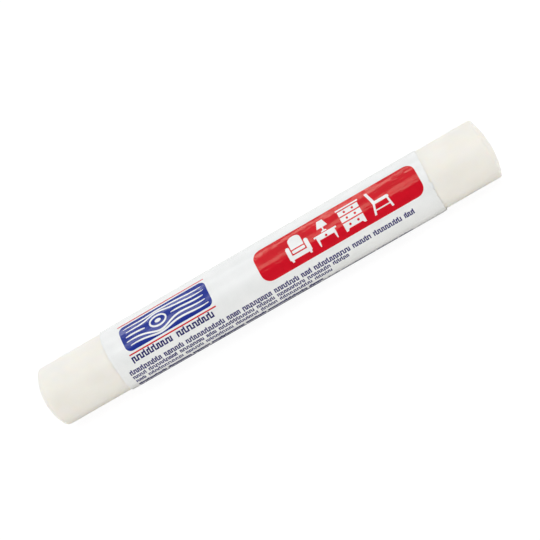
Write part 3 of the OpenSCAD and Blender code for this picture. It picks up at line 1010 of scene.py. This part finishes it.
def lit_part(tree):
    """Share of the floor's glow that is left.

    The camera sees it dark where the label touches it, and reflections all over the stick's shade.
    """
    apart = tree.nodes.new("ShaderNodeSeparateXYZ")
    tree.links.new(object_coords(tree), apart.inputs[0])
    x = apart.outputs["X"]
    off = maths(tree, "ABSOLUTE", apart.outputs["Y"])
    from_middle = maths(tree, "SUBTRACT", x, (LABEL_LEFT + LABEL_RIGHT) / 2)
    wider = maths(tree, "MULTIPLY", x, CONTACT_SLANT)
    beside = span_node(tree, maths(tree, "SUBTRACT", off, wider), CONTACT_REACH, CONTACT_GLOW, 1)
    beyond = span_node(tree, maths(tree, "ABSOLUTE", from_middle), CONTACT_ENDS, CONTACT_GLOW, 1)
    contact = maths(tree, "MAXIMUM", beside, beyond)
    outside = span_node(tree, off, SHADE_REACH, 0, 1)
    past_end = span_node(tree, maths(tree, "ABSOLUTE", x), SHADE_ENDS, 0, 1)
    shade = maths(tree, "MAXIMUM", outside, past_end)
    seen = ray_kind(tree, "Is Camera Ray")
    mirrored = maths(tree, "SUBTRACT", 1.0, seen)
    to_camera = maths(tree, "MULTIPLY", contact, seen)
    return maths(tree, "ADD", to_camera, maths(tree, "MULTIPLY", shade, mirrored))


def make_world():
    """Surroundings: soft light with a dim opening round the camera, and a bright backdrop."""
    world = bpy.data.worlds.new("world")
    bpy.context.scene.world = world
    world.use_nodes = True
    tree = world.node_tree
    fill = tree.nodes["Background"]
    toward = FACING * math.cos(CAMERA_YAW) + ALONG * math.sin(CAMERA_YAW)
    look = tree.nodes.new("ShaderNodeTexCoord")
    facing = tree.nodes.new("ShaderNodeVectorMath")
    facing.operation = "DOT_PRODUCT"
    facing.inputs[1].default_value = toward
    tree.links.new(look.outputs["Generated"], facing.inputs[0])
    span = [math.cos(math.radians(a)) for a in OPENING]
    tent = ramp_node(tree, facing.outputs["Value"], 1.0, OPENING_SHARE, span)
    tree.links.new(tent, fill.inputs["Color"])
    behind = span_node(tree, facing.outputs["Value"], BACKDROP_SPAN, 1, WORLD_FILL)
    shiny = ray_kind(tree, "Is Glossy Ray", "Is Transmission Ray")
    mirrored = maths(tree, "MULTIPLY", behind, shiny)
    plain = maths(tree, "MULTIPLY", maths(tree, "SUBTRACT", 1.0, shiny), WORLD_FILL)
    tree.links.new(maths(tree, "ADD", mirrored, plain), fill.inputs["Strength"])
    backdrop = tree.nodes.new("ShaderNodeBackground")
    mix = tree.nodes.new("ShaderNodeMixShader")
    tree.links.new(ray_kind(tree, "Is Camera Ray"), mix.inputs[0])
    tree.links.new(fill.outputs[0], mix.inputs[1])
    tree.links.new(backdrop.outputs[0], mix.inputs[2])
    tree.links.new(mix.outputs[0], tree.nodes["World Output"].inputs["Surface"])


def make_lamps():
    """Adds the soft boxes, turned to the stick's middle."""
    for i, (turn, lean, distance, width, length, bright) in enumerate(SOFT_BOXES):
        out = ALONG * lean + around(turn) * math.sqrt(1 - lean ** 2)
        lamp = bpy.data.lights.new(f"soft_box_{i}", "AREA")
        lamp.shape = "RECTANGLE"
        lamp.size = length
        lamp.size_y = width
        lamp.energy = bright * math.pi * length * width
        made = bpy.data.objects.new(f"soft_box_{i}", lamp)
        wide = (ALONG - out * lean).normalized()
        tall = out.cross(wide)
        place = Vector((0, 0, AXIS_Z)) + out * distance
        made.matrix_world = placed(wide, tall, out, place)
        made.visible_camera = False
        bpy.context.scene.collection.objects.link(made)


make_camera()
make_world()
make_lamps()
make_floor()

WAX = wax_material()
PAPER = paper_material()
ADHESIVE = glue_material()
INK_RED = ink_material("ink_red", *RED_INK)
INK_BLUE = ink_material("ink_blue", *BLUE_INK)
INK_NAVY = ink_material("ink_navy", *NAVY_INK)

finish_piece("wax_stick_cast", wax_mesh(), WAX, "wax_stick")
GLUE_TOP, GLUE_BOTTOM = FILM + GLUE_GAP, FILM + GLUE + GLUE_SUNK
GLUE_STOP = SHEET_LENGTH - LAP - RAMP
SHEET = sheet_mesh("label_sheet", 0, 0, FILM, 0, SHEET_LENGTH)
COAT = sheet_mesh("label_glue", GLUE_INSET, GLUE_TOP, GLUE_BOTTOM, GLUE_START, GLUE_STOP)
finish_piece("label_sheet", SHEET, PAPER, "label_film")
finish_piece("label_glue", COAT, ADHESIVE, "label_adhesive")

HEADING = heading_outlines(random.Random(HEADING_SEED))
FINE_PRINT = small_outlines(FINE_LINE_SHARES, 0, random.Random(FINE_SEED))
FIRST_DIRECTION = len(FINE_LINE_SHARES)
DIRECTIONS = small_outlines(DIRECTIONS_LINE_SHARES, FIRST_DIRECTION, random.Random(DIRECTIONS_SEED))
add_print("red_panel_ink", red_panel_outlines(), INK_RED, "red_panel_print")
add_print("blue_panel_ink", blue_panel_outlines(), INK_BLUE, "blue_panel_print")
add_print("red_rules_ink", rule_outlines(), INK_RED, "red_rule_print")
add_print("heading_ink", HEADING, INK_NAVY, "heading_print")
add_print("fine_print_ink", FINE_PRINT, INK_NAVY, "fine_print")
add_print("directions_ink", DIRECTIONS, INK_NAVY, "directions_print")

bpy.context.scene.view_settings.view_transform = "Standard"
